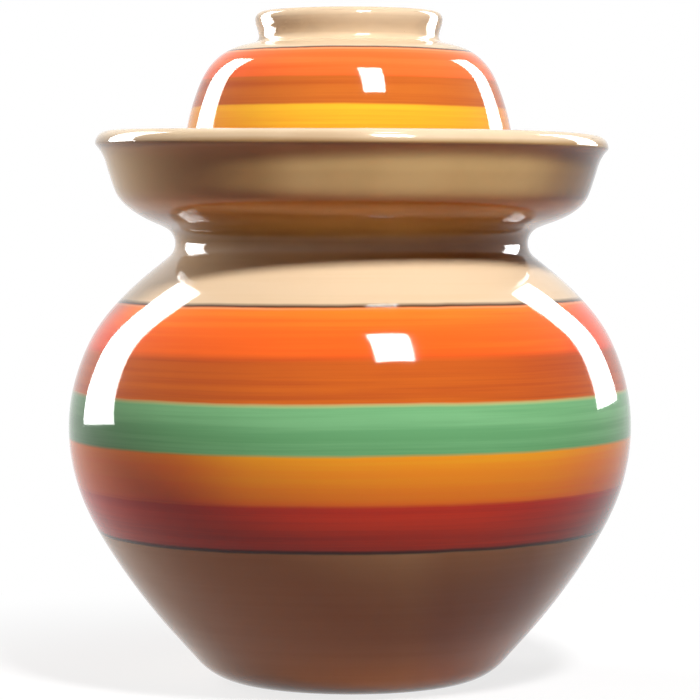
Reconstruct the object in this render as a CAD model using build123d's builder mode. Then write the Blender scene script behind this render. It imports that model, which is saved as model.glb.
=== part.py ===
from build123d import *
import os

# Water seal pickle jar: the fired jar with its water trough, the bowl lid that stands in the
# trough, and the small inner lid that closes the mouth. Each piece is one closed section turned
# about the upright axis. Sizes are in mm and degrees, and heights count from the standing surface.

# Belly and foot
belly_radius = 120.0
belly_height = 109.0
jar_wall = 7.5
jar_floor = 10.0
floor_flat_radius = 42.0
foot_radius = 46.0
foot_land = 8.0
foot_recess = 3.0
foot_recess_slope = 2.0
foot_edge_radius = 1.0
heel_radius = 27.0
heel_angle = 49.0

# Neck, mouth and collar
shoulder_rise = 77.8
neck_step = 23.4
neck_curve_radius = 7.4
neck_lower_angle = 49.5
neck_upper_angle = 62.0
mouth_radius = 52.0
collar_wall = 7.5
collar_height = 38.0
collar_edge_radius = 2.5
collar_foot_radius = 3.0
throat_drop = 2.0
throat_bend_radius = 10.0

# Water trough
trough_rise = 13.2
trough_depth = 33.5
trough_reach = 31.0
trough_cove_radius = 10.0
trough_lean_angle = 17.0
lip_bead_radius = 5.5
lip_flare_angle = 37.0

# Bowl lid and its ring knob
lid_wall = 6.0
lid_collar_gap = 7.5
lid_rim_height = 6.0
lid_edge_radius = 1.5
lid_headroom = 10.0
crown_angle = 80.0
knob_radius = 40.0
knob_undercut = 1.6
knob_wall = 7.0
knob_height = 13.4
knob_foot_radius = 3.0
knob_floor_rise = 0.5
knob_floor_radius = 3.0

# Inner lid and its button knob
inner_lid_setback = 2.0
inner_lid_thickness = 5.0
inner_lid_crown = 2.0
inner_lid_edge_radius = 1.5
plug_clearance = 1.5
plug_depth = 7.0
plug_wall = 5.0
button_radius = 11.5
button_height = 11.0
button_neck_radius = 8.0
button_head_height = 5.5
button_edge_radius = 2.5

# Outlines, as shares (across, up) of the run between the two ends of each curve
lower_belly_shares = [(0.262, 0.16), (0.480, 0.31), (0.725, 0.51), (0.906, 0.71)]
upper_belly_shares = [(0.029, 0.19), (0.112, 0.37), (0.270, 0.57), (0.556, 0.776), (0.761, 0.887)]
bowl_shares = [(0.22, 0.085), (0.49, 0.213), (0.708, 0.404), (0.815, 0.66), (0.897, 0.87)]
lid_shares = [(0.045, 0.22), (0.143, 0.50), (0.275, 0.71), (0.385, 0.82), (0.635, 0.94)]
jar_wall_shares = [0.94, 0.70, 0.45, 0.20, 0]
lid_wall_shares = [0.15, 0.35, 0.55, 0.70, 0.80, 0.90]

# Where the pieces meet
neck_radius = mouth_radius + neck_step
neck_height = belly_height + shoulder_rise
collar_radius = mouth_radius + collar_wall
trough_floor = neck_height + trough_rise
collar_top = trough_floor + collar_height
lid_inner_radius = collar_radius + lid_collar_gap
lid_radius = lid_inner_radius + lid_wall
lip_center_radius = lid_radius + trough_reach
lip_center_height = trough_floor + trough_depth - lip_bead_radius
inner_lid_radius = collar_radius - inner_lid_setback
inner_lid_top = collar_top + inner_lid_thickness + inner_lid_crown
button_top = inner_lid_top + button_height
lid_ceiling = button_top + lid_headroom
lid_crown = lid_ceiling + lid_wall
knob_top = lid_crown + knob_height


def heading(angle):
    """The direction that leans from straight up toward the axis by an angle."""
    return Vector(0, 1).rotate(Axis.Z, angle)


def between(start, end, shares):
    """Points between two ends, each by its share of the run across and up."""
    start = Vector(*start)
    run = Vector(*end) - start
    return [start + Vector(run.X * across, run.Y * up) for across, up in shares]


def inset(curve, share, wall):
    """The point a wall's thickness inside an outer curve that is drawn upward."""
    along = curve % share
    return curve @ share + Vector(-along.Y, along.X) * wall


def run_to_height(start, direction, height):
    """The point where a straight line from a start reaches a height."""
    return start + direction * ((height - start.Y) / direction.Y)


with BuildPart() as jar_body:
    with BuildSketch(Plane.XZ):
        with BuildLine():
            # Outside, from the foot up to the rolled lip
            belly = (belly_radius, belly_height)
            heel = CenterArc((foot_radius, heel_radius), heel_radius, -90, heel_angle)
            neck = CenterArc(
                (neck_radius + neck_curve_radius, neck_height),
                neck_curve_radius,
                180 + neck_lower_angle,
                -neck_lower_angle - neck_upper_angle,
            )
            lip = CenterArc(
                (lip_center_radius, lip_center_height),
                lip_bead_radius,
                -lip_flare_angle,
                180 + lip_flare_angle - trough_lean_angle,
            )
            lower_belly = Spline(
                heel @ 1,
                *between(heel @ 1, belly, lower_belly_shares),
                belly,
                tangents=(heel % 1, heading(0)),
            )
            upper_belly = Spline(
                belly,
                *between(belly, neck @ 0, upper_belly_shares),
                neck @ 0,
                tangents=(heading(0), neck % 0),
            )
            bowl = Spline(
                neck @ 1,
                *between(neck @ 1, lip @ 0, bowl_shares),
                lip @ 0,
                tangents=(neck % 1, lip % 0),
            )
            # Down the trough, over the collar and down the throat to the shoulder's inside
            shoulder_inside = inset(upper_belly, 1, jar_wall)
            throat = FilletPolyline(
                lip @ 1,
                run_to_height(lip @ 1, lip % 1, trough_floor),
                (collar_radius, trough_floor),
                (collar_radius, collar_top),
                (mouth_radius, collar_top),
                (mouth_radius, trough_floor - throat_drop),
                shoulder_inside,
                radius=[
                    trough_cove_radius,
                    collar_foot_radius,
                    collar_edge_radius,
                    collar_edge_radius,
                    throat_bend_radius,
                ],
            )
            # Inside of the belly, down to the floor
            floor_edge = (floor_flat_radius, jar_floor)
            Spline(
                throat @ 1,
                *[inset(upper_belly, share, jar_wall) for share in jar_wall_shares],
                *[inset(lower_belly, share, jar_wall) for share in jar_wall_shares],
                floor_edge,
                tangents=(throat % 1, (-1, 0)),
            )
            Polyline(floor_edge, (0, jar_floor), (0, foot_recess))
            # Foot ring that the jar stands on
            FilletPolyline(
                (0, foot_recess),
                (foot_radius - foot_land - foot_recess_slope, foot_recess),
                (foot_radius - foot_land, 0),
                (foot_radius, 0),
                radius=foot_edge_radius,
            )
        make_face()
    revolve(axis=Axis.Z)

with BuildPart() as lid:
    with BuildSketch(Plane.XZ):
        with BuildLine():
            # Rim that stands on the trough floor
            rim = FilletPolyline(
                (lid_inner_radius, trough_floor + lid_rim_height),
                (lid_inner_radius, trough_floor),
                (lid_radius, trough_floor),
                (lid_radius, trough_floor + lid_rim_height),
                radius=lid_edge_radius,
            )
            # Outside of the bowl, up to the foot of the ring knob
            knob_foot = CenterArc(
                (knob_radius - knob_undercut + knob_foot_radius, lid_crown + knob_foot_radius),
                knob_foot_radius,
                180 + crown_angle,
                -crown_angle,
            )
            dome = Spline(
                rim @ 1,
                *between(rim @ 1, knob_foot @ 0, lid_shares),
                knob_foot @ 0,
                tangents=(rim % 1, knob_foot % 0),
            )
            # Ring knob, with its rounded top and its hollow
            knob_round = CenterArc(
                (knob_radius - knob_wall / 2, knob_top - knob_wall / 2), knob_wall / 2, 0, 180
            )
            Spline(knob_foot @ 1, knob_round @ 0, tangents=(heading(0), heading(0)))
            hollow = FilletPolyline(
                knob_round @ 1,
                (knob_radius - knob_wall, lid_crown + knob_floor_rise),
                (0, lid_crown + knob_floor_rise),
                (0, lid_ceiling),
                radius=[knob_floor_radius, 0],
            )
            # Inside of the bowl, from the ceiling down to the rim
            Spline(
                hollow @ 1,
                *[inset(dome, share, lid_wall) for share in reversed(lid_wall_shares)],
                rim @ 0,
                tangents=((1, 0), rim % 0),
            )
        make_face()
    revolve(axis=Axis.Z)

with BuildPart() as inner_lid:
    with BuildSketch(Plane.XZ):
        with BuildLine():
            # Hollow plug ring in the mouth, disc that lies on the collar, and button to lift it by
            plug_radius = mouth_radius - plug_clearance
            FilletPolyline(
                (0, collar_top),
                (plug_radius - plug_wall, collar_top),
                (plug_radius - plug_wall, collar_top - plug_depth),
                (plug_radius, collar_top - plug_depth),
                (plug_radius, collar_top),
                (inner_lid_radius, collar_top),
                (inner_lid_radius, collar_top + inner_lid_thickness),
                (button_neck_radius, inner_lid_top),
                (button_radius, button_top - button_head_height),
                (button_radius, button_top),
                (0, button_top),
                radius=[0, *[inner_lid_edge_radius] * 6, *[button_edge_radius] * 3, 0],
                close=True,
            )
        make_face()
    revolve(axis=Axis.Z)

jar_body.part.label = "jar_body"
lid.part.label = "lid"
inner_lid.part.label = "inner_lid"

os.makedirs("parts", exist_ok=True)
export_step(jar_body.part, "parts/jar_body.step")
export_step(lid.part, "parts/lid.step")
export_step(inner_lid.part, "parts/inner_lid.step")
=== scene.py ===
import math

import bpy
import numpy as np
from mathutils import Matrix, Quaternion, Vector


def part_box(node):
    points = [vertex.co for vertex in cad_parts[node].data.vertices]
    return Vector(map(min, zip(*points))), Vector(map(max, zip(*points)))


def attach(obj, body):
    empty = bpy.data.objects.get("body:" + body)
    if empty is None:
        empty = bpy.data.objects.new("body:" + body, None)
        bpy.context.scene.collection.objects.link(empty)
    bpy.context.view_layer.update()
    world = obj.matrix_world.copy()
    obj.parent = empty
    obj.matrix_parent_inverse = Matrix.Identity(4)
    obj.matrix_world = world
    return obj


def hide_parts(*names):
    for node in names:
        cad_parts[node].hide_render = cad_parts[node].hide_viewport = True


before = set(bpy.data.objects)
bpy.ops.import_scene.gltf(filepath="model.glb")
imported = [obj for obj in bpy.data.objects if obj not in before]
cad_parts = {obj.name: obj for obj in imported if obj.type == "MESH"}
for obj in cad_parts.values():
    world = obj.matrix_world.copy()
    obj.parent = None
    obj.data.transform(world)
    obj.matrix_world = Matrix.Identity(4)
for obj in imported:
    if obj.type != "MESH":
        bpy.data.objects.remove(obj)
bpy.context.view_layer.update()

# The turned pieces are drawn again here as fine lathe meshes, from the outlines of the solids,
# with a crisper lip and the small irregularities of hand work. Lengths are in metres and angles
# in degrees.
MM = 0.001

_, jar_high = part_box("jar_body")
lid_low, lid_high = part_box("lid")
inner_low, inner_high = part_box("inner_lid")

# Belly and foot
belly_radius = jar_high.x
belly_height = 109 * MM
jar_wall = 7.5 * MM
jar_floor = 10 * MM
floor_flat_radius = 42 * MM
foot_radius = 46 * MM
foot_land = 8 * MM
foot_recess = 3 * MM
foot_recess_slope = 2 * MM
foot_edge_radius = 1 * MM
heel_radius = 27 * MM
heel_angle = 49

# Neck, collar and water trough
trough_floor = lid_low.z
collar_top = jar_high.z
lid_radius = lid_high.x
mouth_radius = 52 * MM
neck_step = 23.4 * MM
neck_radius = mouth_radius + neck_step
shoulder_rise = 77.8 * MM
neck_height = belly_height + shoulder_rise
neck_curve_radius = 7.4 * MM
neck_lower_angle = 49.5
neck_upper_angle = 62
collar_wall = 7.5 * MM
collar_radius = mouth_radius + collar_wall
collar_edge_radius = 2.5 * MM
collar_foot_radius = 3 * MM
throat_drop = 2 * MM
throat_bend_radius = 10 * MM
trough_depth = 33.5 * MM
trough_reach = 31 * MM
trough_cove_radius = 10 * MM
trough_lean_angle = 17
lip_bead_radius = 5.5 * MM
lip_flare_angle = 37
lip_under_start = 6
lip_under_radius = 1.6 * MM
lip_under_angle = 44

# Bowl lid and its ring knob
lid_wall = 6 * MM
lid_rim_height = 6 * MM
lid_edge_radius = 1.5 * MM
knob_top = lid_high.z
knob_height = 13.4 * MM
lid_crown = knob_top - knob_height
lid_ceiling = lid_crown - lid_wall
lid_inner_radius = lid_radius - lid_wall
crown_angle = 80
knob_radius = 40 * MM
knob_undercut = 1.6 * MM
knob_wall = 7 * MM
knob_foot_radius = 3 * MM
knob_floor_rise = 0.5 * MM
knob_floor_radius = 3 * MM

# Inner lid and its button
inner_lid_radius = inner_high.x
inner_lid_thickness = 5 * MM
inner_lid_crown = 2 * MM
inner_lid_edge_radius = 1.5 * MM
plug_clearance = 1.5 * MM
plug_radius = mouth_radius - plug_clearance
plug_wall = 5 * MM
plug_bottom = inner_low.z
button_top = inner_high.z
button_radius = 11.5 * MM
button_neck_radius = 8 * MM
button_head_height = 5.5 * MM
button_edge_radius = 2.5 * MM

# Outlines, as shares (across, up) of the run between the two ends of each curve
lower_belly_shares = [(0.262, 0.16), (0.480, 0.31), (0.725, 0.51), (0.906, 0.71)]
upper_belly_shares = [(0.029, 0.19), (0.112, 0.37), (0.270, 0.57), (0.556, 0.776), (0.761, 0.887)]
bowl_shares = [
    (0.22, 0.085), (0.49, 0.213), (0.708, 0.404), (0.818, 0.66),
    (0.848, 0.745), (0.876, 0.835), (0.908, 0.921),
]
lid_shares = [(0.045, 0.22), (0.143, 0.50), (0.275, 0.71), (0.385, 0.82), (0.635, 0.94)]

# How finely the outlines and the turns are divided, the least gap between two points, and how
# near to the axis a point counts as on it
outline_step = 2 * MM
outline_turn = 7
jar_sides = 192
lid_sides = 192
inner_lid_sides = 160
least_gap = 0.02 * outline_step
on_axis = 1e-6


def heading(angle):
    """The direction in the outline's plane at an angle from the outward one."""
    return np.array([math.cos(math.radians(angle)), math.sin(math.radians(angle))])


def line(start, end):
    """Evenly spaced points on a straight line."""
    start, end = np.array(start, float), np.array(end, float)
    count = max(2, math.ceil(np.linalg.norm(end - start) / outline_step) + 1)
    return start + (end - start) * np.linspace(0, 1, count)[:, None]


def arc(center, radius, start, sweep):
    """Points on an arc from a start angle through a sweep."""
    length = radius * math.radians(abs(sweep))
    count = max(abs(sweep) / outline_turn, length / outline_step)
    angles = np.radians(start + sweep * np.linspace(0, 1, max(3, math.ceil(count) + 1)))
    return np.array(center) + radius * np.column_stack([np.cos(angles), np.sin(angles)])


def smooth(points, start_along, end_along):
    """Points on the smooth curve through a few given ones, with a set direction at each end."""
    points = np.array(points, float)
    gaps = np.linalg.norm(np.diff(points, axis=0), axis=1)
    count = len(points)
    system, known = np.eye(count), np.zeros((count, 2))
    known[0], known[-1] = start_along, end_along
    slopes = np.diff(points, axis=0) / gaps[:, None]
    for i in range(1, count - 1):
        system[i, i - 1:i + 2] = gaps[i], 2 * (gaps[i - 1] + gaps[i]), gaps[i - 1]
        known[i] = 3 * (gaps[i] * slopes[i - 1] + gaps[i - 1] * slopes[i])
    along = np.linalg.solve(system, known)
    curve = [points[:1]]
    for i in range(count - 1):
        t = np.linspace(0, 1, max(3, math.ceil(gaps[i] / outline_step)) + 1)[1:, None]
        curve.append(
            points[i] * (1 + 2 * t) * (1 - t) ** 2
            + points[i + 1] * t * t * (3 - 2 * t)
            + gaps[i] * along[i] * t * (1 - t) ** 2
            - gaps[i] * along[i + 1] * t * t * (1 - t)
        )
    return np.vstack(curve)


def rounded(corners, radii):
    """Points along the straight lines between corners, with each inner corner rounded."""
    corners = [np.array(corner, float) for corner in corners]
    runs, last = [], corners[0]
    for before, corner, after, radius in zip(corners, corners[1:], corners[2:], radii):
        come = (corner - before) / np.linalg.norm(corner - before)
        go = (after - corner) / np.linalg.norm(after - corner)
        turn = math.atan2(come[0] * go[1] - come[1] * go[0], float(come @ go))
        setback = radius * math.tan(abs(turn) / 2)
        start = corner - come * setback
        side = math.copysign(1, turn) * np.array([-come[1], come[0]])
        center = start + side * radius
        angle = math.degrees(math.atan2(-side[1], -side[0]))
        runs += [line(last, start), arc(center, radius, angle, math.degrees(turn))]
        last = corner + go * setback
    runs.append(line(last, corners[-1]))
    return np.vstack(runs)


def between(start, end, shares):
    """Points between two ends, each by its share of the run across and up."""
    start, end = np.array(start, float), np.array(end, float)
    return [start + (end - start) * np.array(share) for share in shares]


def inset(points, wall):
    """The outline a wall's thickness to the left of one that is drawn upward."""
    along = np.gradient(points, axis=0)
    along /= np.linalg.norm(along, axis=1)[:, None]
    return points + np.column_stack([-along[:, 1], along[:, 0]]) * wall


def reach(start, direction, height):
    """The point where a straight line from a start reaches a height."""
    return start + direction * ((height - start[1]) / direction[1])


def jar_outline():
    """The jar's section from the middle of its foot, up the outside, down the inside."""
    heel = arc((foot_radius, heel_radius), heel_radius, -90, heel_angle)
    neck = arc(
        (neck_radius + neck_curve_radius, neck_height),
        neck_curve_radius,
        180 + neck_lower_angle,
        -neck_lower_angle - neck_upper_angle,
    )
    lip_center = np.array([lid_radius + trough_reach, trough_floor + trough_depth - lip_bead_radius])
    bead_end = lip_center + lip_bead_radius * heading(-lip_flare_angle)
    under_center = lip_center + (lip_bead_radius - lip_under_radius) * heading(lip_under_start)
    lip_under = arc(under_center, lip_under_radius, -lip_under_angle, lip_under_angle + lip_under_start)
    lip_round = arc(lip_center, lip_bead_radius, lip_under_start, 90 - lip_under_start)
    lip_outside = np.vstack([lip_under, lip_round])
    lip_inside = arc(lip_center, lip_bead_radius, 90, 90 - trough_lean_angle)
    widest = (belly_radius, belly_height)
    lower_belly = smooth(
        [heel[-1], *between(heel[-1], widest, lower_belly_shares), widest],
        heading(heel_angle),
        heading(90),
    )
    upper_belly = smooth(
        [widest, *between(widest, neck[0], upper_belly_shares), neck[0]],
        heading(90),
        heading(90 + neck_lower_angle),
    )
    bowl = smooth(
        [neck[-1], *between(neck[-1], bead_end, bowl_shares), lip_outside[0]],
        heading(90 - neck_upper_angle),
        heading(90 - lip_under_angle),
    )
    inside = inset(np.vstack([lower_belly, upper_belly[1:]]), jar_wall)
    trough = rounded(
        [
            lip_inside[-1],
            reach(lip_inside[-1], heading(-90 - trough_lean_angle), trough_floor),
            (collar_radius, trough_floor),
            (collar_radius, collar_top),
            (mouth_radius, collar_top),
            (mouth_radius, trough_floor - throat_drop),
            inside[-1],
        ],
        [
            trough_cove_radius,
            collar_foot_radius,
            collar_edge_radius,
            collar_edge_radius,
            throat_bend_radius,
        ],
    )
    foot = rounded(
        [
            (0, foot_recess),
            (foot_radius - foot_land - foot_recess_slope, foot_recess),
            (foot_radius - foot_land, 0),
            (foot_radius, 0),
        ],
        [foot_edge_radius, foot_edge_radius],
    )
    floor_bend = smooth(
        [inside[0], (floor_flat_radius, jar_floor)],
        heading(180 + heel_angle),
        heading(180),
    )
    return [
        ("clay", foot),
        ("paint", np.vstack([heel, lower_belly, upper_belly])),
        ("bowl", np.vstack([neck, bowl, lip_outside])),
        ("cream", np.vstack([lip_inside, trough, inside[::-1], floor_bend])),
        ("cream", line((floor_flat_radius, jar_floor), (0, jar_floor))),
    ]


def lid_outline():
    """The bowl lid's section from the middle of its ceiling, down, round the rim and up."""
    rim = rounded(
        [
            (lid_inner_radius, trough_floor + lid_rim_height),
            (lid_inner_radius, trough_floor),
            (lid_radius, trough_floor),
            (lid_radius, trough_floor + lid_rim_height),
        ],
        [lid_edge_radius, lid_edge_radius],
    )
    foot_center = (knob_radius - knob_undercut + knob_foot_radius, lid_crown + knob_foot_radius)
    knob_foot = arc(foot_center, knob_foot_radius, 180 + crown_angle, -crown_angle)
    dome = smooth(
        [rim[-1], *between(rim[-1], knob_foot[0], lid_shares), knob_foot[0]],
        heading(90),
        heading(90 + crown_angle),
    )
    lip_center = (knob_radius - knob_wall / 2, knob_top - knob_wall / 2)
    knob_lip = arc(lip_center, knob_wall / 2, 0, 180)
    knob_side = smooth([knob_foot[-1], knob_lip[0]], heading(90), heading(90))
    hollow = rounded(
        [
            knob_lip[-1],
            (knob_radius - knob_wall, lid_crown + knob_floor_rise),
            (0, lid_crown + knob_floor_rise),
        ],
        [knob_floor_radius],
    )
    inner_dome = inset(dome, lid_wall)
    inner_dome = inner_dome[inner_dome[:, 1] < lid_ceiling - lid_edge_radius]
    ceiling_edge = (inner_dome[-1][0] - knob_radius / 2, lid_ceiling)
    ceiling = smooth([inner_dome[-1], ceiling_edge], heading(180 - crown_angle / 2), heading(180))
    inside = np.vstack([line((0, lid_ceiling), ceiling[-1]), ceiling[::-1], inner_dome[::-1]])
    return [
        ("cream", inside),
        ("clay", rim),
        ("paint", np.vstack([dome, knob_foot])),
        ("cream", np.vstack([knob_side, knob_lip, hollow])),
    ]


def inner_lid_outline():
    """The inner lid's section from the middle of its underside out and up to its button."""
    outline = rounded(
        [
            (0, collar_top),
            (plug_radius - plug_wall, collar_top),
            (plug_radius - plug_wall, plug_bottom),
            (plug_radius, plug_bottom),
            (plug_radius, collar_top),
            (inner_lid_radius, collar_top),
            (inner_lid_radius, collar_top + inner_lid_thickness),
            (button_neck_radius, collar_top + inner_lid_thickness + inner_lid_crown),
            (button_radius, button_top - button_head_height),
            (button_radius, button_top),
            (0, button_top),
        ],
        [inner_lid_edge_radius] * 6 + [button_edge_radius] * 3,
    )
    edge = int(np.argmax(outline[:, 0]))
    return [("clay", outline[:edge + 1]), ("cream", outline[edge:])]


def ease(value, low, high):
    """A smooth step from 0 at the low value to 1 at the high one."""
    t = np.clip((value - low) / (high - low), 0, 1)
    return t * t * (3 - 2 * t)


# What the thrower's hand leaves: slight ovals, a lip that dips to the right, and pieces a
# little off their shared axis. Each wave of an oval has its count round, its phase in radians,
# and how far it turns with height in radians per metre.
oval_height = 0.16 * MM
oval_waves = [(2, 1.3, 9), (3, 4.1, -14), (5, 2.2, 23)]
lip_dip = 0.85 * MM
lip_wave_height = 0.25 * MM
lip_wave_count = 3
lip_wave_phase = 1
trough_offset = 0.5 * MM
foot_offset = 0.5 * MM
lid_offset = -0.4 * MM


def hand_of_jar(x, y, z, angle):
    """The thrown jar's wander from the true form."""
    radius = np.hypot(x, y)
    wave = sum(np.sin(count * angle + phase + z * climb) for count, phase, climb in oval_waves)
    push = 1 + wave * oval_height / belly_radius * ease(z, foot_recess, belly_height)
    at_lip = ease(radius, lid_radius, lid_radius + trough_reach) * ease(z, neck_height, trough_floor)
    lip_wave = lip_wave_height * np.sin(lip_wave_count * angle + lip_wave_phase)
    drop = at_lip * (lip_dip * x / (lid_radius + trough_reach) + lip_wave)
    aside = trough_offset * ease(z, belly_height, neck_height)
    aside = aside + foot_offset * (1 - ease(z, foot_recess, belly_height))
    return x * push + aside, y * push, z - drop


def hand_of_lid(x, y, z, angle):
    """The thrown lid's wander from the true form."""
    wave = sum(np.sin(count * angle + 2 * phase - z * climb) for count, phase, climb in oval_waves)
    push = 1 + wave * oval_height / belly_radius
    return x * push + lid_offset, y * push, z


def lathe(name, outline, sides, hand, materials):
    """A closed piece turned from an outline whose two ends lie on the axis."""
    points, kinds = [], []
    for kind, run in outline:
        for point in run:
            if not points or np.linalg.norm(point - points[-1]) > least_gap:
                points.append(point)
                kinds.append(kind)
    points = np.array(points)
    angles = np.arange(sides) * math.tau / sides
    vertices, rings = [], []
    for radius, height in points:
        if radius < on_axis:
            rings.append([len(vertices)] * sides)
            vertices.append((0, 0, height))
            continue
        rings.append(list(range(len(vertices), len(vertices) + sides)))
        x, y, z = hand(radius * np.cos(angles), radius * np.sin(angles), np.full(sides, height), angles)
        vertices += list(zip(x, y, z))
    slots = {kind: i for i, kind in enumerate(materials)}
    faces, face_slots = [], []
    for i in range(len(rings) - 1):
        for side in range(sides):
            after = (side + 1) % sides
            corners = [rings[i][side], rings[i][after], rings[i + 1][after], rings[i + 1][side]]
            faces.append(list(dict.fromkeys(corners)))
            face_slots.append(slots[kinds[i + 1]])
    mesh = bpy.data.meshes.new(name)
    mesh.from_pydata([tuple(map(float, vertex)) for vertex in vertices], [], faces)
    for material in materials.values():
        mesh.materials.append(material)
    mesh.polygons.foreach_set("material_index", face_slots)
    mesh.polygons.foreach_set("use_smooth", [True] * len(faces))
    mesh.validate()
    mesh.update()
    piece = bpy.data.objects.new(name, mesh)
    bpy.context.scene.collection.objects.link(piece)
    return piece


class Shader:
    """A short way to add and join the nodes of one material or world."""

    def __init__(self, owner):
        owner.use_nodes = True
        self.tree = owner.node_tree
        self.tree.nodes.clear()

    def node(self, kind, **settings):
        made = self.tree.nodes.new(kind)
        for key, value in settings.items():
            setattr(made, key, value)
        return made

    def put(self, socket, value):
        if isinstance(value, bpy.types.NodeSocket):
            self.tree.links.new(value, socket)
        else:
            socket.default_value = value

    def math(self, operation, *values):
        made = self.node("ShaderNodeMath", operation=operation)
        for socket, value in zip(made.inputs, values):
            self.put(socket, value)
        return made.outputs[0]

    def vector(self, operation, *values):
        made = self.node("ShaderNodeVectorMath", operation=operation)
        for socket, value in zip(made.inputs, values):
            self.put(socket, value)
        return made.outputs[0]

    def noise(self, place, scale, detail=2.0, roughness=0.5):
        made = self.node("ShaderNodeTexNoise")
        self.put(made.inputs["Vector"], place)
        made.inputs["Scale"].default_value = scale
        made.inputs["Detail"].default_value = detail
        made.inputs["Roughness"].default_value = roughness
        return made.outputs["Fac"]

    def mix(self, factor, first, second, blend="MIX"):
        made = self.node("ShaderNodeMix", data_type="RGBA", blend_type=blend)
        self.put(made.inputs["Factor"], factor)
        self.put(made.inputs[6], first)
        self.put(made.inputs[7], second)
        return made.outputs[2]

    def blend(self, factor, first, second):
        made = self.node("ShaderNodeMixShader")
        self.put(made.inputs[0], factor)
        self.put(made.inputs[1], first.outputs[0])
        self.put(made.inputs[2], second.outputs[0])
        return made

    def span(self, value, low, high, to_low=0.0, to_high=1.0):
        made = self.node("ShaderNodeMapRange", interpolation_type="SMOOTHSTEP")
        for socket, given in zip(made.inputs, (value, low, high, to_low, to_high)):
            self.put(socket, given)
        return made.outputs[0]

    def ramp(self, factor, stops):
        made = self.node("ShaderNodeValToRGB")
        elements = made.color_ramp.elements
        while len(elements) < len(stops):
            elements.new(1.0)
        for element, (position, color) in zip(elements, stops):
            element.position = position
            element.color = (*color, 1)
        self.put(made.inputs[0], factor)
        return made.outputs[0]

    def background_share(self):
        """1 for the rays that show the white background: the camera's, and gloss and glass."""
        rays = self.node("ShaderNodeLightPath").outputs
        clear = self.math("MAXIMUM", rays["Is Glossy Ray"], rays["Is Transmission Ray"])
        return self.math("MAXIMUM", rays["Is Camera Ray"], clear)

    def patched(self, color, x, height, patches, edge):
        """The colour with each patch's tint laid over it, where its range across and up is met."""
        for rise, risen, fall, fallen, low, high, tint in patches:
            sides = [self.span(x, rise * MM, risen * MM), self.span(x, fall * MM, fallen * MM)]
            ends = [self.span(height, (end - edge) * MM, (end + edge) * MM) for end in (low, high)]
            across, up = self.math("SUBTRACT", *sides), self.math("SUBTRACT", *ends)
            color = self.mix(self.math("MULTIPLY", across, up), color, (*tint, 1), "MULTIPLY")
        return color


# The glaze: its refraction, and how much of its surroundings it reflects, where 0.5 is all that
# clear glass does. Its roughness and relief vary softly over the surface, and clay is coarser.
glaze_ior = 1.5
glaze_shine = 0.25
gloss_scale = 70
painted_roughness = (0.045, 0.075)
cream_roughness = (0.045, 0.08)
clay_roughness = (0.75, 0.92)
middle_noise = (0.3, 0.7)
relief_scale = 38
relief_depth = 0.05 * MM
stroke_relief = 0.02
clay_grain_scale = 1400
clay_tone_scale = 45
clay_relief_depth = 0.12 * MM

# How the edges of the bands wander, in a slow way and a quick one, and the brush strokes, which
# are long round the jar and short up it
slow_scale, slow_wander = 9, 1.6 * MM
quick_scale, quick_wander = 55, 0.5 * MM
stroke_stretch = 0.016
fine_stroke_scale, fine_share = 620, 0.4
broad_stroke_scale, broad_share = 190, 0.6
stroke_span = (0.40, 0.62)
thick_paint_scale = 24
thick_paint_span = (0.35, 0.75, 0.0, 0.30)

# Mottling of the cream glaze, its faded share, its iron specks, and the duller ring in the crease
# between two heights, each with a soft start and end
mottle_scale = 30
mottle_span = (0.38, 0.72)
faded_tint = (0.93, 0.90, 0.86)
speck_scale = 900
speck_span = (0.80, 0.84, 0.0, 0.5)
tone_scale, tone_wander = 14, 2 * MM
tone_patch_edge = 1.2
dull_start = (190 * MM, 194 * MM)
dull_end = (206 * MM, 201 * MM)
dull_roughness = 0.03

# Glaze colours, as linear red, green and blue
cream_color = (0.715, 0.535, 0.352)
cream_deep_color = (0.67, 0.48, 0.292)
cream_stroke_color = (0.695, 0.512, 0.328)
# Painted shade: the next two are the lower belly's cream, darker and browner where it is in shade
lower_belly_shade_color = (0.62, 0.39, 0.18)
lower_belly_shade_stroke_color = (0.60, 0.37, 0.165)
cream_speck_color = (0.36, 0.20, 0.09)
clay_color = (0.52, 0.34, 0.20)
clay_dark_color = (0.38, 0.22, 0.12)
line_color = (0.055, 0.014, 0.004)
halo_color = (0.88, 0.27, 0.09)

# Painted bands from the bottom up: the height where each ends and the softness of that edge, in
# mm, then its light stroke's colour at its lower and upper side, and its deep stroke's
# Red, amber and green are lighter at their upper side: partly the paint, partly painted shade below
red_low, red_high = (0.77, 0.044, 0.002), (0.84, 0.038, 0.002)
red_deep_low, red_deep_high = (0.60, 0.028, 0.001), (0.69, 0.025, 0.001)
amber_low, amber_middle, amber_high = (1.0, 0.250, 0.001), (1.0, 0.335, 0.001), (1.0, 0.412, 0.002)
amber_deep_low, amber_deep_middle = (1.0, 0.208, 0.001), (1.0, 0.295, 0.001)
amber_deep_high = (1.0, 0.345, 0.001)
green_low, green_high = (0.172, 0.493, 0.210), (0.231, 0.572, 0.258)
green_deep_low, green_deep_high = (0.120, 0.394, 0.149), (0.172, 0.473, 0.202)
fringe_color = (0.56, 0.58, 0.22)
brown_low, brown_high = (0.69, 0.147, 0.002), (0.59, 0.104, 0.002)
brown_deep_low, brown_deep_high = (0.55, 0.089, 0.001), (0.49, 0.065, 0.001)
orange_low, orange_high = (0.92, 0.138, 0.004), (0.90, 0.195, 0.008)
orange_deep_low, orange_deep_high = (0.88, 0.107, 0.002), (0.88, 0.140, 0.004)

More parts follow.
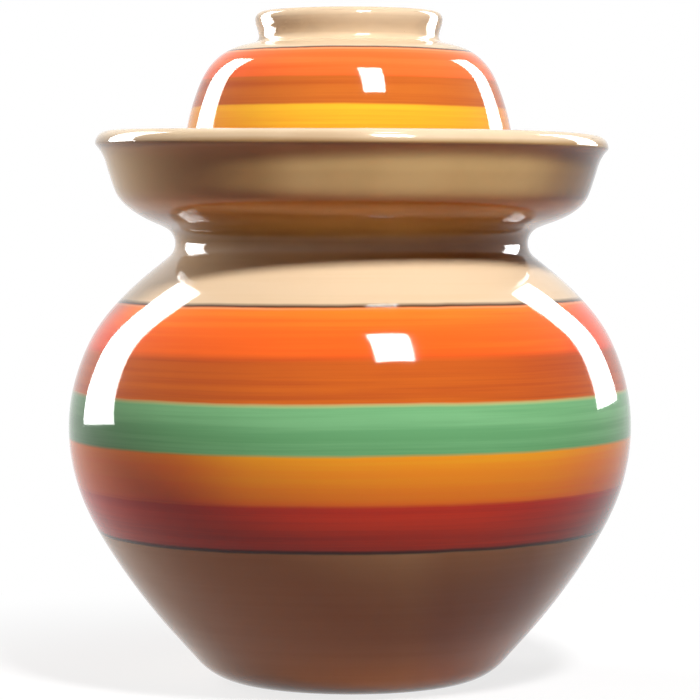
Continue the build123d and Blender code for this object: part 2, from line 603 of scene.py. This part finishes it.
jar_bands = [
    # The lowest band, up to the dark line, is cream made darker and browner as painted shade
    (64.8, 0.15, lower_belly_shade_color, lower_belly_shade_color, lower_belly_shade_stroke_color, lower_belly_shade_stroke_color),
    (66.3, 0.4, line_color, line_color, line_color, line_color),
    (84.8, 0.8, red_low, red_high, red_deep_low, red_deep_high),
    (95.0, 0, amber_low, amber_middle, amber_deep_low, amber_deep_middle),
    (104.6, 0.3, amber_middle, amber_high, amber_deep_middle, amber_deep_high),
    (124.0, 0.5, green_low, green_high, green_deep_low, green_deep_high),
    (124.8, 0.4, fringe_color, fringe_color, fringe_color, fringe_color),
    (142.6, 1.7, brown_low, brown_high, brown_deep_low, brown_deep_high),
    (161.3, 0.3, orange_low, orange_high, orange_deep_low, orange_deep_high),
    (162.1, 0.15, halo_color, halo_color, halo_color, halo_color),
    (163.3, 0.15, line_color, line_color, line_color, line_color),
    (190.0, 0.15, cream_color, cream_color, cream_stroke_color, cream_stroke_color),
]
yellow_low, yellow_high = (0.90, 0.54, 0.016), (0.93, 0.516, 0.017)
yellow_deep_low, yellow_deep_high = (0.87, 0.425, 0.012), (0.89, 0.386, 0.012)
tan_low, tan_high = (0.655, 0.166, 0.011), (0.61, 0.141, 0.009)
tan_deep_low, tan_deep_high = (0.55, 0.110, 0.006), (0.52, 0.092, 0.005)
coral_low, coral_high = (0.85, 0.152, 0.020), (0.84, 0.205, 0.036)
coral_deep_low, coral_deep_high = (0.81, 0.118, 0.011), (0.81, 0.147, 0.018)
lid_bands = [
    (244.0, 0.4, yellow_low, yellow_high, yellow_deep_low, yellow_deep_high),
    (255.6, 0.4, tan_low, tan_high, tan_deep_low, tan_deep_high),
    (266.8, 0.3, coral_low, coral_high, coral_deep_low, coral_deep_high),
    (267.6, 0.15, halo_color, halo_color, halo_color, halo_color),
    (268.2, 0.15, line_color, line_color, line_color, line_color),
    (275.0, 0.15, cream_color, cream_color, cream_stroke_color, cream_stroke_color),
]

# Tints toward the sides: partly paint that lies thicker or thinner, partly painted shade where
# the sides turn from the light. The bowl's patches on the neck, trough and lip are painted shade,
# such as the edge of the lip's shadow on the wall. Each has the range across where a patch sets
# in and the one where it ends, its lower and upper edge, all in mm, and its tint. A patch that
# runs on round a side sets in before it or ends beyond it.
before_left = (-300, -200)
beyond_right = (200, 300)
patch_edge = 0.3
jar_patches = [
    (*before_left, -78, -35, 84.8, 104.6, (0.88, 0.54, 0.40)),
    (75, 108, *beyond_right, 84.8, 104.6, (1.0, 0.78, 0.75)),
    (*before_left, -108, -66, 104.6, 124.8, (0.66, 0.66, 0.60)),
    (30, 90, *beyond_right, 124.8, 142.6, (0.90, 0.78, 0.56)),
    (*before_left, -102, -86, 142.6, 161.3, (1.0, 0.64, 0.60)),
    (84, 100, *beyond_right, 142.6, 161.3, (1.0, 0.62, 0.55)),
    (38, 80, *beyond_right, 66.3, 84.8, (0.85, 0.62, 0.30)),
    (20, 42, 72, 84, 0, 64.8, (0.82, 0.66, 0.54)),
]
lid_patches = [
    (*before_left, -60, -25, 200, 244.0, (1.0, 0.80, 1.0)),
    (54, 66, *beyond_right, 200, 244.0, (1.0, 0.72, 1.0)),
    (*before_left, -55, -20, 244.0, 255.6, (0.90, 0.82, 0.75)),
    (*before_left, -50, -20, 255.6, 266.8, (1.0, 0.80, 0.70)),
]
# All of these are painted shade on the neck, trough and lip
bowl_shade_patches = [
    (15, 42, *beyond_right, 180, 203, (0.86, 0.78, 0.68)),
    (-100, -52, -40, -18, 205, 226.5, (0.76, 0.68, 0.56)),
    (68, 95, *beyond_right, 205, 226.5, (0.60, 0.50, 0.40)),
    (*before_left, -10, 30, 226.5, 232, (0.82, 0.78, 0.74)),
]

# Tones of the cream glaze on the outside of the neck and trough, by height in mm, as painted
# shade and light: darker and browner on the neck, in the crease above it, on the wall and under
# the lip, where shade falls; the ridge between neck and crease a little lighter as painted
# bounce light, and the lip's top lighter as painted light.
wall_color = (0.71, 0.50, 0.215)
rim_bounce_light_color = (0.72, 0.47, 0.185)
crease_shade_color = (0.69, 0.44, 0.165)
neck_shade_color = (0.50, 0.305, 0.11)
lip_underside_shade_color = (0.48, 0.285, 0.10)
lip_color = (0.745, 0.575, 0.38)
shade_color = (0.48, 0.285, 0.10)
bowl_shade_and_light_tones = [
    (184.0, cream_color),
    (188.0, neck_shade_color),
    (196.5, neck_shade_color),
    (199.0, shade_color),
    (201.4, rim_bounce_light_color),
    (203.2, rim_bounce_light_color),
    (205.0, crease_shade_color),
    (208.0, wall_color),
    (226.5, wall_color),
    (228.0, lip_underside_shade_color),
    (230.0, lip_color),
    (232.5, lip_color),
]


def glaze_surface(shader, color, roughness, height, distance):
    """Ends a material in its glossy or matt surface, with a slight relief."""
    glaze = shader.node("ShaderNodeBsdfPrincipled")
    shader.put(glaze.inputs["Base Color"], color)
    shader.put(glaze.inputs["Roughness"], roughness)
    glaze.inputs["IOR"].default_value = glaze_ior
    glaze.inputs["Specular IOR Level"].default_value = glaze_shine
    bump = shader.node("ShaderNodeBump")
    bump.inputs["Strength"].default_value = 1.0
    bump.inputs["Distance"].default_value = distance
    shader.put(bump.inputs["Height"], height)
    shader.put(glaze.inputs["Normal"], bump.outputs[0])
    out = shader.node("ShaderNodeOutputMaterial")
    shader.put(out.inputs["Surface"], glaze.outputs[0])


def band_stops(bands, low, high, first):
    """Ramp stops for bands, taking each one's colours from a place in its row."""
    span, stops, edge_below, soft_below = high - low, [], low, 0
    for top, soft, *colors in bands:
        stops.append(((edge_below + soft_below - low) / span, colors[first]))
        stops.append(((top - soft - low) / span, colors[first + 1]))
        edge_below, soft_below = top, soft
    return stops


def painted_glaze(name, bands, patches, low, tilt, seed):
    """Brushed bands under a clear glaze, by height in mm from a low one, with a slight lean."""
    material = bpy.data.materials.new(name)
    shader = Shader(material)
    place = shader.node("ShaderNodeTexCoord").outputs["Object"]
    parts = shader.node("ShaderNodeSeparateXYZ")
    shader.put(parts.inputs[0], place)
    x, z = parts.outputs["X"], parts.outputs["Z"]
    moved = shader.vector("ADD", place, (seed, seed, 0))
    slow = shader.math("SUBTRACT", shader.noise(moved, slow_scale), 0.5)
    quick = shader.math("SUBTRACT", shader.noise(moved, quick_scale), 0.5)
    height = shader.math("MULTIPLY_ADD", x, -tilt, z)
    level = shader.math("MULTIPLY_ADD", slow, slow_wander, height)
    height = shader.math("MULTIPLY_ADD", quick, quick_wander, level)
    high = bands[-1][0]
    factor = shader.math("DIVIDE", shader.math("SUBTRACT", height, low * MM), (high - low) * MM)
    light = shader.ramp(factor, band_stops(bands, low, high, 0))
    deep = shader.ramp(factor, band_stops(bands, low, high, 2))
    around = shader.node("ShaderNodeCombineXYZ")
    shader.put(around.inputs[0], shader.math("MULTIPLY", x, stroke_stretch))
    shader.put(around.inputs[1], shader.math("MULTIPLY", parts.outputs["Y"], stroke_stretch))
    shader.put(around.inputs[2], level)
    strokes = shader.vector("ADD", around.outputs[0], (seed, seed, seed))
    fine = shader.noise(strokes, fine_stroke_scale, 3.0, 0.6)
    broad = shader.noise(strokes, broad_stroke_scale)
    streak = shader.math("MULTIPLY_ADD", broad, broad_share, shader.math("MULTIPLY", fine, fine_share))
    color = shader.mix(shader.span(streak, *stroke_span), light, deep)
    thick = shader.noise(moved, thick_paint_scale, 3.0)
    color = shader.mix(shader.span(thick, *thick_paint_span), color, deep)
    color = shader.patched(color, x, height, patches, patch_edge)
    roughness = shader.span(shader.noise(moved, gloss_scale), *middle_noise, *painted_roughness)
    relief = shader.math("MULTIPLY_ADD", fine, stroke_relief, shader.noise(moved, relief_scale))
    glaze_surface(shader, color, roughness, relief, relief_depth)
    return material


def cream_glaze(name, seed, tones=None):
    """Plain cream glaze with soft mottling and a few small iron specks, in one tone, or in several
    tones by height and side that are painted shade and light.
    """
    material = bpy.data.materials.new(name)
    shader = Shader(material)
    place = shader.node("ShaderNodeTexCoord").outputs["Object"]
    moved = shader.vector("ADD", place, (seed, seed, 0))
    mottle = shader.span(shader.noise(moved, mottle_scale, 4.0), *mottle_span)
    roughness = shader.span(shader.noise(moved, gloss_scale), *middle_noise, *cream_roughness)
    if tones:
        parts = shader.node("ShaderNodeSeparateXYZ")
        shader.put(parts.inputs[0], place)
        wander = shader.math("SUBTRACT", shader.noise(moved, tone_scale), 0.5)
        height = shader.math("MULTIPLY_ADD", wander, tone_wander, parts.outputs["Z"])
        low, high = tones[0][0], tones[-1][0]
        factor = shader.math("DIVIDE", shader.math("SUBTRACT", height, low * MM), (high - low) * MM)
        color = shader.ramp(factor, [((top - low) / (high - low), tone) for top, tone in tones])
        faded = shader.mix(1.0, color, (*faded_tint, 1), "MULTIPLY")
        color = shader.mix(mottle, color, faded)
        color = shader.patched(color, parts.outputs["X"], height, bowl_shade_patches, tone_patch_edge)
        starts, ends = shader.span(height, *dull_start), shader.span(height, *dull_end)
        dull = shader.math("MULTIPLY", starts, ends)
        roughness = shader.math("MULTIPLY_ADD", dull, dull_roughness, roughness)
    else:
        color = shader.mix(mottle, (*cream_color, 1), (*cream_deep_color, 1))
    specks = shader.span(shader.noise(moved, speck_scale, 1.0), *speck_span)
    color = shader.mix(specks, color, (*cream_speck_color, 1))
    glaze_surface(shader, color, roughness, shader.noise(moved, relief_scale), relief_depth)
    return material


def bare_clay(name):
    """Unglazed fired clay, where the pieces stand in the kiln."""
    material = bpy.data.materials.new(name)
    shader = Shader(material)
    place = shader.node("ShaderNodeTexCoord").outputs["Object"]
    grain = shader.noise(place, clay_grain_scale, 4.0, 0.7)
    tone = shader.span(shader.noise(place, clay_tone_scale, 3.0), *middle_noise)
    color = shader.mix(tone, (*clay_color, 1), (*clay_dark_color, 1))
    roughness = shader.span(grain, *middle_noise, *clay_roughness)
    glaze_surface(shader, color, roughness, grain, clay_relief_depth)
    return material


clay = bare_clay("bare_clay")
cream = cream_glaze("cream_glaze", seed=3.7)
bowl = cream_glaze("cream_glaze_outside_painted_shade", seed=8.2, tones=bowl_shade_and_light_tones)
jar_paint = painted_glaze("painted_jar_glaze", jar_bands, jar_patches, low=0, tilt=0.005, seed=1.3)
lid_paint = painted_glaze("painted_lid_glaze", lid_bands, lid_patches, low=200, tilt=-0.0035, seed=5.9)

jar = lathe(
    "turned_jar", jar_outline(), jar_sides, hand_of_jar,
    {"clay": clay, "paint": jar_paint, "bowl": bowl, "cream": cream},
)
lid = lathe(
    "turned_lid", lid_outline(), lid_sides, hand_of_lid,
    {"cream": cream, "clay": clay, "paint": lid_paint},
)
inner_lid = lathe(
    "turned_inner_lid", inner_lid_outline(), inner_lid_sides, lambda x, y, z, angle: (x, y, z),
    {"clay": clay, "cream": cream},
)
for piece, body, node, slot in (
    (jar, "jar", "jar_body", "jar_glaze"),
    (lid, "lid", "lid", "lid_glaze"),
    (inner_lid, "inner_lid", "inner_lid", "inner_lid_glaze"),
):
    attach(piece, body)
    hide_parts(node)


# Floor that is white to the camera, to gloss and to glass, and keeps a soft shadow near the jar.
# Only the light that bounces from it onto matt colour is that of a warm table with a round mat.
floor_size = 8.0
floor_color = (0.9, 0.9, 0.9)
shadow_near = 0.10
shadow_far = 0.34
shadow_share = 0.21
mat_center = (0.006, 0.020, 0)
mat_radius = 0.100
mat_edge = 0.0015
mat_bounce_color = (0.42, 0.19, 0.07)
table_bounce_color = (0.15, 0.052, 0.016)
ambient = 0.015
ambient_color = (1.0, 0.70, 0.42)


def white_floor():
    """A large plane, white to the camera and to gloss, whose light on matt colour is warm."""
    mesh = bpy.data.meshes.new("floor")
    half = floor_size / 2
    corners = [(-half, -half, 0), (half, -half, 0), (half, half, 0), (-half, half, 0)]
    mesh.from_pydata(corners, [], [(0, 1, 2, 3)])
    floor = bpy.data.objects.new("floor", mesh)
    bpy.context.scene.collection.objects.link(floor)
    material = bpy.data.materials.new("floor_white")
    mesh.materials.append(material)
    shader = Shader(material)
    place = shader.node("ShaderNodeTexCoord").outputs["Object"]
    length = shader.node("ShaderNodeVectorMath", operation="LENGTH")
    shader.put(length.inputs[0], place)
    distance = length.outputs["Value"]
    glow = shader.node("ShaderNodeEmission")
    matt = shader.node("ShaderNodeBsdfDiffuse")
    matt.inputs[0].default_value = (*floor_color, 1)
    white = shader.span(distance, shadow_near, shadow_far, 1 - shadow_share, 1.0)
    seen = shader.blend(white, matt, glow)
    from_mat = shader.node("ShaderNodeVectorMath", operation="DISTANCE")
    shader.put(from_mat.inputs[0], place)
    from_mat.inputs[1].default_value = mat_center
    off_mat = shader.span(from_mat.outputs["Value"], mat_radius - mat_edge, mat_radius + mat_edge)
    bounce = shader.node("ShaderNodeBsdfDiffuse")
    shader.put(bounce.inputs[0], shader.mix(off_mat, (*mat_bounce_color, 1), (*table_bounce_color, 1)))
    both = shader.blend(shader.background_share(), bounce, seen)
    out = shader.node("ShaderNodeOutputMaterial")
    shader.put(out.inputs["Surface"], both.outputs[0])


def white_world():
    """A white surround for the camera, gloss and glass, and a dim warm one for light on the jar."""
    world = bpy.data.worlds.new("surround")
    bpy.context.scene.world = world
    shader = Shader(world)
    bright = shader.node("ShaderNodeBackground")
    seen = shader.background_share()
    shader.put(bright.inputs["Strength"], shader.math("MAXIMUM", seen, ambient))
    shader.put(bright.inputs["Color"], shader.mix(seen, (*ambient_color, 1), (1, 1, 1, 1)))
    out = shader.node("ShaderNodeOutputWorld")
    shader.put(out.inputs["Surface"], bright.outputs[0])


def softbox(name, place, aim, roll, width, height, radiance):
    """A rectangular lamp that looks from its place at a point, and is then rolled.

    Its radiance is its energy divided by four times its area.
    """
    data = bpy.data.lights.new(name, "AREA")
    data.shape = "RECTANGLE"
    data.size, data.size_y = width, height
    data.energy = 4 * width * height * radiance
    lamp = bpy.data.objects.new(name, data)
    bpy.context.scene.collection.objects.link(lamp)
    lamp.location = place
    turn = (Vector(place) - Vector(aim)).to_track_quat("Z", "Y")
    lamp.rotation_euler = (turn @ Quaternion((0, 0, 1), math.radians(roll))).to_euler()
    lamp.visible_camera = False
    return lamp


def panel(name, corners, radiance):
    """A glowing panel that only reflections meet, for a long highlight at one side."""
    mesh = bpy.data.meshes.new(name)
    mesh.from_pydata(corners, [], [(0, 1, 2, 3)])
    material = bpy.data.materials.new(name)
    mesh.materials.append(material)
    shader = Shader(material)
    glow = shader.node("ShaderNodeEmission")
    glow.inputs["Strength"].default_value = radiance
    out = shader.node("ShaderNodeOutputMaterial")
    shader.put(out.inputs["Surface"], glow.outputs[0])
    made = bpy.data.objects.new(name, mesh)
    bpy.context.scene.collection.objects.link(made)
    made.visible_camera = made.visible_diffuse = made.visible_shadow = made.visible_transmission = False


# Corners of the two side panels: upper two, then lower two
left_panel = [(-1.80, 2.41, 2.29), (-1.83, 1.41, 2.63), (-1.77, 0.55, 0.12), (-1.75, 1.72, 0.03)]
right_panel = [(1.38, 1.12, 1.86), (1.55, 2.12, 1.89), (2.26, 2.67, 0.27), (1.96, 0.99, 0.26)]
panel_radiance = 22

# Lamps: the place, the point each looks at, its roll in degrees, its width and height, and its
# radiance. The key's glint and its light stand at one place, in two sizes.
key_stand = ((0.46, -1.09, 1.60), (0.41, 0, 0.72), 8.4)
key_glint_lamp = (*key_stand, 0.45, 0.70, 66)
key_lamp = (*key_stand, 0.26, 0.34, 136)
left_fill_lamp = ((-1.79, 1.51, 1.29), (-0.79, 1.49, 1.32), 17, 1.05, 2.6, 6.6)
right_fill_lamp = ((1.75, 1.66, 1.12), (0.83, 1.82, 0.77), 0, 1.4, 1.75, 0.4)
side_fill_lamp = ((-1.36, -0.60, 0.70), (0, 0, 0.109), 0, 0.8, 0.8, 0.7)
overhead_lamp = ((0.217, -0.20, 1.58), (0.01, -0.098, 0.163), -63.8, 0.18, 0.06, 75)
left_glint_lamp = ((-0.454, 0.244, 0.203), (-0.035, -0.018, 0.277), 0, 0.24, 0.10, 22)
right_glint_lamp = ((0.419, 0.292, 0.212), (0.034, -0.020, 0.277), 0, 0.20, 0.13, 22)


def lights():
    """The key and its glint, a panel at each side, three fills, and three small glints."""
    softbox("key_glint", *key_glint_lamp).visible_diffuse = False
    softbox("key", *key_lamp).visible_glossy = False
    panel("left_panel", left_panel, panel_radiance)
    panel("right_panel", right_panel, panel_radiance)
    for name, lamp in (
        ("left_fill", left_fill_lamp),
        ("right_fill", right_fill_lamp),
        ("side_fill", side_fill_lamp),
    ):
        softbox(name, *lamp).visible_glossy = False
    for name, lamp, piece in (
        ("overhead", overhead_lamp, jar),
        ("left_knob_glint", left_glint_lamp, lid),
        ("right_knob_glint", right_glint_lamp, lid),
    ):
        glint = softbox(name, *lamp)
        glint.visible_diffuse = False
        lit = bpy.data.collections.new("lit_by_" + name)
        lit.objects.link(piece)
        glint.light_linking.receiver_collection = lit


# The camera's distance and height in metres, how far it looks down in degrees, and its lens and
# sensor in mm
camera_distance = 1.332
camera_height = 0.202
camera_drop = 2.62
camera_lens = 160
camera_sensor = 36


def camera():
    """The photograph's view: from in front, looking a little down, with a long lens."""
    data = bpy.data.cameras.new("camera")
    data.lens, data.sensor_width = camera_lens, camera_sensor
    made = bpy.data.objects.new("camera", data)
    bpy.context.scene.collection.objects.link(made)
    made.location = (0, -camera_distance, camera_height)
    made.rotation_euler = (math.radians(90 - camera_drop), 0, 0)
    bpy.context.scene.camera = made


white_floor()
white_world()
lights()
camera()
bpy.context.scene.view_settings.view_transform = "Standard"
